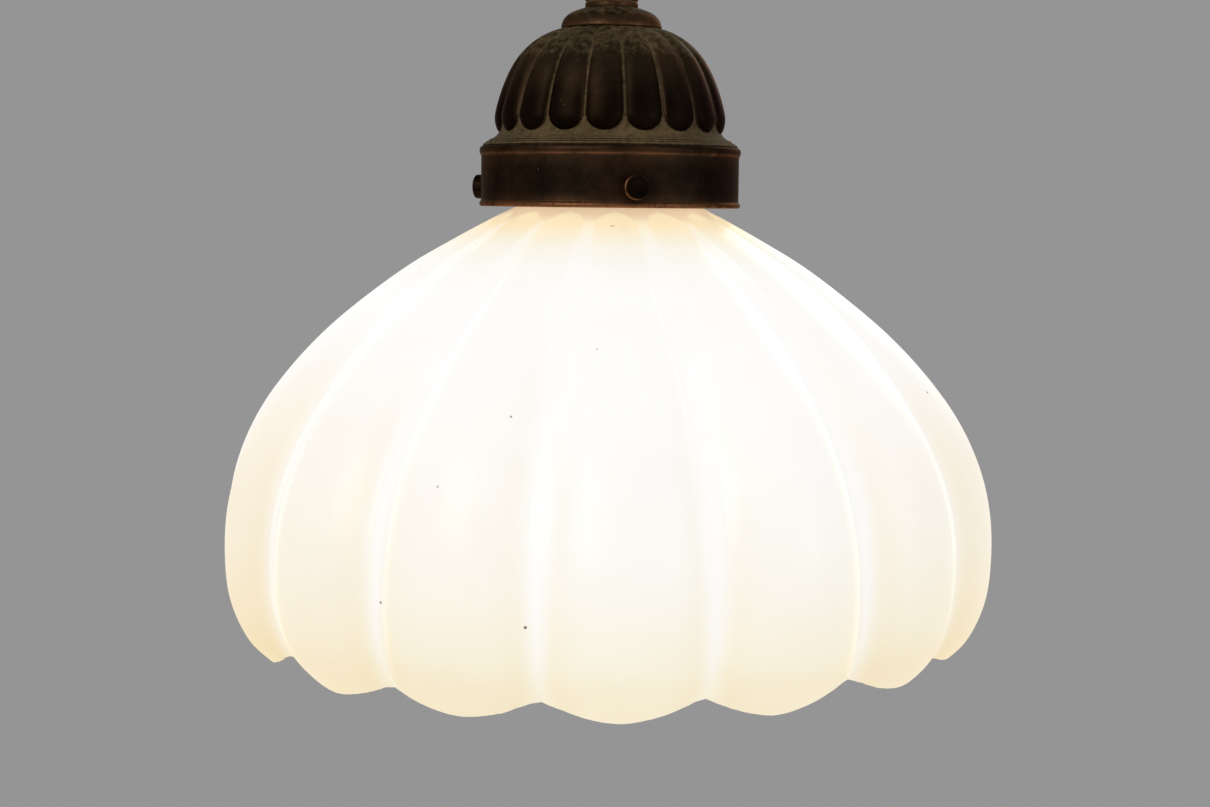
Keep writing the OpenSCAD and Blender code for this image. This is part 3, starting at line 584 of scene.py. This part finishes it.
def dome_rings():
    per = 24
    m = GADROONS * per
    j = np.arange(m)
    f = ((j + per // 2) % per) / per * 2 - 1
    theta = 2 * math.pi * j / m + bearing(-3)
    out, dust_and_shade, wear_and_highlight = [], [], []

    def add(r, z, d, w=0.0):
        out.append(np.stack([r * np.cos(theta), r * np.sin(theta), np.broadcast_to(z, theta.shape)], -1) * MM + np.array([0, 0, ZB]))
        dust_and_shade.append(np.broadcast_to(d, (m,)).copy())
        wear_and_highlight.append(np.broadcast_to(w, (m,)).copy())

    one = np.ones(m)
    add(5.2 * one, 61.2 * one, 0.6)
    add(16.2 * one, 61.2 * one, 0.8)
    steps = np.concatenate([np.linspace(0, 6.4, 44), np.linspace(6.4, 9.2, 40)[1:], np.linspace(9.2, 11, 12)[1:]])
    for v in steps:
        b = curve(DOME, v)
        n = normal2(DOME, v)
        g, q = gadroon(f, -b[1], -25.5, 5.8, 0.94, 2.0)
        a = curve(DOME_RELIEF, min(v, 9))[0]
        p = b[None, :] + n[None, :] * (a * g)[:, None]
        low = smooth((v - 1.0) / 5.0)
        # dusty on the top, darker towards the gadroons' lower ends, dusty between the gadroons
        d = 0.55 * (1 - low) + 0.04 - 0.75 * smooth((v - 2.4) / 4.6)
        d = d + (1 - smooth(g / 0.5)) * (0.74 - d)
        if v > 9.3:
            d = np.full(m, 0.80)
        # painted shade: darker in the undercut under each gadroon's round lower end
        under = smooth((32.0 - b[1]) / 4.5) * smooth((q - 0.35) / 0.5) * (q < 1)
        add(p[:, 0], np.minimum(p[:, 1], 61.15), d * (1 - 0.9 * under) - 0.6 * under, 0.0)
    # flare with two fine steps
    for r, z, d, w in [(41.4, 23.15, 0.75, 0), (41.7, 23.1, 0.95, 0), (42.0, 22.95, 0.95, 0), (42.1, 22.6, 0.35, 0), (42.4, 22.45, 0.6, 0.0), (42.9, 22.3, 1.0, 0), (43.1, 22.2, 1.0, 0),
                       (43.2, 21.9, 0.3, 0), (43.5, 21.75, 0.6, 0.0), (43.9, 21.6, 1.0, 0), (44.1, 21.35, 0.8, 0), (44.2, 21.0, 0.3, 0),
                       (44.25, 20.75, 0.2, 0)]:
        add(r * one, z * one, d, w)
    for r, z in [(41.5, 20.75), (37.4, 23.6), (35.6, 28), (34.2, 35.6), (31, 43.6), (26, 50.4), (18, 56.4), (15, 58.2), (5.2, 58.2)]:
        add(r * one, z * one, 0.1)
    return np.array(out), np.array(dust_and_shade), np.array(wear_and_highlight)


rings, dust_and_shade, wear_and_highlight = dome_rings()
dome = grid_object("gadroon_dome", rings, {"dust_and_shade": dust_and_shade, "wear_and_highlight": wear_and_highlight}, close=True)
stand_for(dome, "gadrooned_dome", "pendant", "bronze")


# ---------------------------------------------------------------- turned pieces
def lathe(name, profile, closed=True, segments=192, z0=0.0, wobble=0.0, seed=1):
    """A turned piece. profile: (r, z, dust, wear) in mm, running down the outside."""
    P = np.array(profile, float)
    m = segments
    theta = 2 * math.pi * np.arange(m) / m
    r = P[:, 0][:, None] + wobble * wave(np.arange(m) / m, seed, [(2, 1), (3, 0.6), (5, 0.4)])[None, :]
    rings = np.stack([r * np.cos(theta), r * np.sin(theta), np.broadcast_to(P[:, 1][:, None], r.shape)], -1) * MM
    rings[..., 2] += z0
    at = {"dust_and_shade": np.broadcast_to(P[:, 2][:, None], r.shape), "wear_and_highlight": np.broadcast_to(P[:, 3][:, None], r.shape)}
    return grid_object(name, rings, at, close=closed)


def rounded(profile, radius, n=4):
    """Rounds the corners of a closed (r, z, dust, wear) profile with small arcs."""
    P = [np.array(p, float) for p in profile]
    out = []
    N = len(P)
    for i in range(N):
        a, b, c = P[i - 1], P[i], P[(i + 1) % N]
        u, v = a[:2] - b[:2], c[:2] - b[:2]
        lu, lv = np.linalg.norm(u), np.linalg.norm(v)
        cosang = np.dot(u, v) / (lu * lv + 1e-9)
        k = min(radius, 0.42 * lu, 0.42 * lv)
        if cosang < -0.97 or k < 1e-3:
            out.append(b)
            continue
        s, e = b[:2] + u / lu * k, b[:2] + v / lv * k
        for q in range(n + 1):
            t = q / n
            pt = (1 - t) ** 2 * s + 2 * t * (1 - t) * b[:2] + t * t * e
            out.append(np.array([pt[0], pt[1], b[2], b[3]]))
    return [tuple(p) for p in out]


# fitter band: bead at the top, copper-coloured line under it, lower lip; the line and the lip are partly worn metal and
# partly painted highlight, and the bead and the wall are made darker through the negative attribute values
BAND = [(41.5, 20.7, 0.5, 0), (44.3, 20.7, 0.55, 0), (44.9, 20.5, 0.2, 0.0), (45.2, 19.9, -0.3, 0.05), (45.3, 19.1, -0.4, 0.1), (45.2, 18.4, -0.3, 0.25),
        (45.05, 18.0, 0.0, 0.55), (44.95, 17.8, 0.1, 0.6), (44.75, 17.45, 0.1, 0.2), (44.7, 17.0, -0.2, 0.05), (44.7, 13, -0.4, 0.0), (44.7, 9, -0.45, 0.0), (44.7, 5, -0.4, 0.0),
        (44.7, 2.3, -0.2, 0.05), (44.8, 1.9, 0.0, 0.2), (45.15, 1.55, 0.0, 0.4), (45.3, 1.0, 0.0, 0.6), (45.25, 0.45, 0.0, 0.75), (44.9, 0.05, 0.0, 0.85), (44.3, 0.0, 0.0, 0.8),
        (43.7, 0.1, 0.0, 0.7), (43.35, 0.5, 0.0, 0.4), (43.3, 1.2, 0.1, 0.1), (43.3, 9, 0.2, 0), (43.3, 19.1, 0.3, 0), (41.6, 19.3, 0.3, 0)]
BAND = [(r, max(z, 0.0), d, w) for r, z, d, w in BAND]
band = lathe("gallery_band", rounded(BAND, 0.25, 2), segments=320, z0=ZB, wobble=0.03, seed=4)
stand_for(band, "fitter_band", "pendant", "band")

CAP = [(5.0, 68.3, 0.5, 0), (9.6, 68.3, 0.6, 0), (10.8, 67.9, 0.6, 0), (12.4, 67.35, 0.55, 0), (13.6, 66.85, 0.5, 0), (15.1, 65.95, 0.4, 0.05), (16.15, 64.95, 0.25, 0.1),
       (16.85, 63.8, 0.15, 0.1), (17.25, 62.7, 0.1, 0.15), (17.4, 61.9, 0.1, 0.3), (17.3, 61.3, 0.3, 0.2), (15.6, 61.2, 0.5, 0), (15.5, 62.4, 0.3, 0), (14.8, 64, 0.3, 0), (13, 65.3, 0.3, 0), (10, 66.2, 0.3, 0), (5.0, 66.2, 0.3, 0)]
cap = lathe("dome_cap_turned", rounded(CAP, 0.2, 2), segments=160, z0=ZB)
stand_for(cap, "dome_cap", "pendant", "bronze")

COLLAR = [(5.0, 68.3, 0.3, 0), (9.1, 68.3, 0.5, 0), (9.15, 68.5, 0.2, 0.1), (9.15, 69.9, 0.05, 0.3), (8.75, 70.4, 0.8, 0), (9.15, 70.9, 0.05, 0.3), (9.15, 72.1, 0.05, 0.3), (8.75, 72.6, 0.8, 0),
          (9.15, 73.1, 0.05, 0.3), (9.15, 74.3, 0.1, 0.2), (8.6, 75.4, 0.5, 0), (8.25, 76.6, 0.3, 0), (8.2, 78, 0.2, 0), (8.25, 79.6, 0.2, 0), (8.45, 81.2, 0.3, 0.0), (8.95, 82.4, 0.2, 0.2),
          (9.0, 84, 0.15, 0.3), (8.3, 85.2, 0.5, 0.1), (7.0, 85.9, 0.8, 0), (6.56, 86.0, 0.8, 0), (6.56, 78, 0.2, 0), (5.0, 78, 0.2, 0)]
collar = lathe("stem_ferrule", rounded(COLLAR, 0.18, 2), segments=128, z0=ZB)
stand_for(collar, "stem_collar", "pendant", "bronze")


# set screws: low drum heads with a fine knurl and a shallow dished face
def set_screw(name, node, deg):
    m = 96
    th = 2 * math.pi * np.arange(m) / m
    P = [(2.0, 32.0, 0.1, 0.2), (2.0, 45.5, 0.2, 0.1), (3.7, 45.55, 0.3, 0.0), (4.1, 45.75, 0.2, 0.1), (4.25, 46.1, 0.1, 0.2), (4.25, 49.7, 0.1, 0.2), (4.21, 50.02, 0.0, 0.7),
         (4.1, 50.24, 0.0, 1.0), (3.92, 50.35, 0.0, 0.8), (3.7, 50.38, 0.1, 0.1), (3.2, 50.4, 0.1, 0.0), (2.0, 50.38, 0.2, 0.0), (1.0, 50.36, 0.2, 0.0)]
    P = np.array(P)
    r = np.repeat(P[:, 0][:, None], m, 1)
    knurl = 0.11 * (0.5 + 0.5 * np.cos(24 * th))
    for i in (4, 5):
        r[i] -= knurl
    a = bearing(deg)
    ex = np.array([math.cos(a), math.sin(a), 0])
    ey = np.array([0.0, 0.0, 1.0])
    ez = np.cross(ex, ey)
    c = np.array([0, 0, ZB / MM + 6.8])
    rings = c + P[:, 1][:, None, None] * ex + r[..., None] * (np.cos(th)[None, :, None] * ey + np.sin(th)[None, :, None] * ez)
    # painted highlight: the worn rim's copper is strongest on the lower-left arc seen from outside; the whole head is
    # made darker through the negative attribute values
    highlight_arc = 0.12 + 0.88 * smooth((np.cos(th - math.radians(118)) + 0.25) / 1.0)
    at = {"dust_and_shade": np.repeat(P[:, 2][:, None], m, 1) - 0.75, "wear_and_highlight": P[:, 3][:, None] * highlight_arc[None, :]}
    ob = grid_object(name, rings * MM, at, close=False, caps=(True, True))
    stand_for(ob, node, node, "band")
    return ob


for i, d in enumerate((10.3, 130.3, 250.3), 1):
    set_screw(f"thumb_screw_{i}", f"set_screw_{i}", d)

# ---------------------------------------------------------------- canopy
CR = 54.0
CANOPY = np.array([[CR - 1, -7], [CR, -8.2], [CR, -14.6], [CR - 1.2, -16], [CR - 1.6, -17.6], [CR - 3.6, -19.6], [CR - 7, -21.4], [CR - 7.6, -23], [CR - 6.8, -30],
                   [CR - 8, -40], [CR - 11, -50], [CR - 16, -60.5], [CR - 22.6, -70.5], [CR - 31, -79.6], [CR - 39.4, -86.6], [12.6, -89.4], [11, -91], [11, -93.4], [10, -94.6]])
CANOPY_IN = [(6.9, -94.6), (6.9, -92.2), (12, -86.4), (21, -78.6), (30, -69), (36.4, -59.4), (41, -49.4), (43.8, -40), (44.6, -28), (45, -19.5), (CR - 2, -15), (CR - 2, -7)]


def canopy_rings():
    per = 20
    m = GADROONS * per
    j = np.arange(m)
    f = ((j + per // 2) % per) / per * 2 - 1
    theta = 2 * math.pi * j / m + bearing(-3)
    out, dust_and_shade, wear_and_highlight = [], [], []

    def add(r, z, d, w=0.0):
        out.append(np.stack([r * np.cos(theta), r * np.sin(theta), np.broadcast_to(z, theta.shape)], -1) * MM)
        dust_and_shade.append(np.broadcast_to(d, (m,)).copy())
        wear_and_highlight.append(np.broadcast_to(w, (m,)).copy())

    steps = np.concatenate([np.linspace(0, 7, 36), np.linspace(7, 9, 22)[1:], np.linspace(9, 15, 34)[1:], np.linspace(15, 18, 10)[1:]])
    for v in steps:
        b, n = curve(CANOPY, v), normal2(CANOPY, v)
        if 7.2 < v < 14.6:
            g, q = gadroon(f, -v, -7.2, 0.9)
            a = 1.9 * (1 - 0.55 * smooth((v - 11) / 3.6)) * (1 - smooth((v - 13) / 1.6))
        else:
            g, a = np.zeros(m), 0.0
        p = b[None, :] + n[None, :] * (a * g)[:, None]
        if v < 7.2:
            d = np.full(m, 0.1 + 0.6 * smooth((v - 3.0) / 0.8))
            w = 0.7 * math.exp(-((v - 2.1) / 0.35) ** 2) + 0.5 * math.exp(-((v - 0.9) / 0.3) ** 2)
        else:
            d = 0.08 + (1 - smooth(g / 0.45)) * 0.75
            w = 0.0
        if v > 15:
            d = np.full(m, 0.2)
        add(p[:, 0], p[:, 1], d, w)
    for r, z in CANOPY_IN:
        add(np.full(m, r), np.full(m, z), 0.1)
    return np.array(out), np.array(dust_and_shade), np.array(wear_and_highlight)


rings, dust_and_shade, wear_and_highlight = canopy_rings()
can = grid_object("canopy_bell", rings, {"dust_and_shade": dust_and_shade, "wear_and_highlight": wear_and_highlight}, close=True)
stand_for(can, "canopy_cup", "canopy", "bronze")

# ---------------------------------------------------------------- stage
floor_mat, nt, p = new_material("stage_floor")
k = Kit(nt)
nt.links.new(k.mix(k.noise(k.coords(), 3, 3), (0.80, 0.79, 0.77), (0.84, 0.83, 0.81)), p.inputs["Base Color"])
p.inputs["Roughness"].default_value = 0.7
me = bpy.data.meshes.new("stage_floor")
R = 3.4
FZ = -2.35
pts = [(R * math.cos(2 * math.pi * i / 96), R * math.sin(2 * math.pi * i / 96), FZ) for i in range(96)]
me.from_pydata(pts, [], [tuple(range(96))])
floor = bpy.data.objects.new("stage_floor", me)
me.materials.append(floor_mat)
scene.collection.objects.link(floor)

world = bpy.data.worlds.new("world")
scene.world = world
world.use_nodes = True
bg = world.node_tree.nodes["Background"]
bg.inputs["Color"].default_value = (0.30, 0.30, 0.305, 1)
bg.inputs["Strength"].default_value = 1.0


def area(name, loc, target, size, power, colour):
    d = bpy.data.lights.new(name, "AREA")
    d.shape = "RECTANGLE"
    d.size, d.size_y = size
    d.energy = power
    d.color = colour
    o = bpy.data.objects.new(name, d)
    o.location = loc
    o.rotation_euler = (Vector(target) - Vector(loc)).to_track_quat("-Z", "Y").to_euler()
    scene.collection.objects.link(o)
    return o


area("key", (-0.9, -1.2, 0.25), (0, 0, ZB), (0.9, 0.9), 8, (1.0, 0.96, 0.90))
area("fill", (1.3, -0.9, -0.1), (0, 0, ZB), (0.9, 0.9), 3.0, (0.95, 0.97, 1.0))
area("rim", (0.7, 1.2, 0.3), (0, 0, ZB), (0.8, 0.8), 2.5, (1.0, 1.0, 1.0))

scene.view_settings.view_transform = "Standard"
scene.view_settings.look = "None"
scene.view_settings.exposure = 0.0
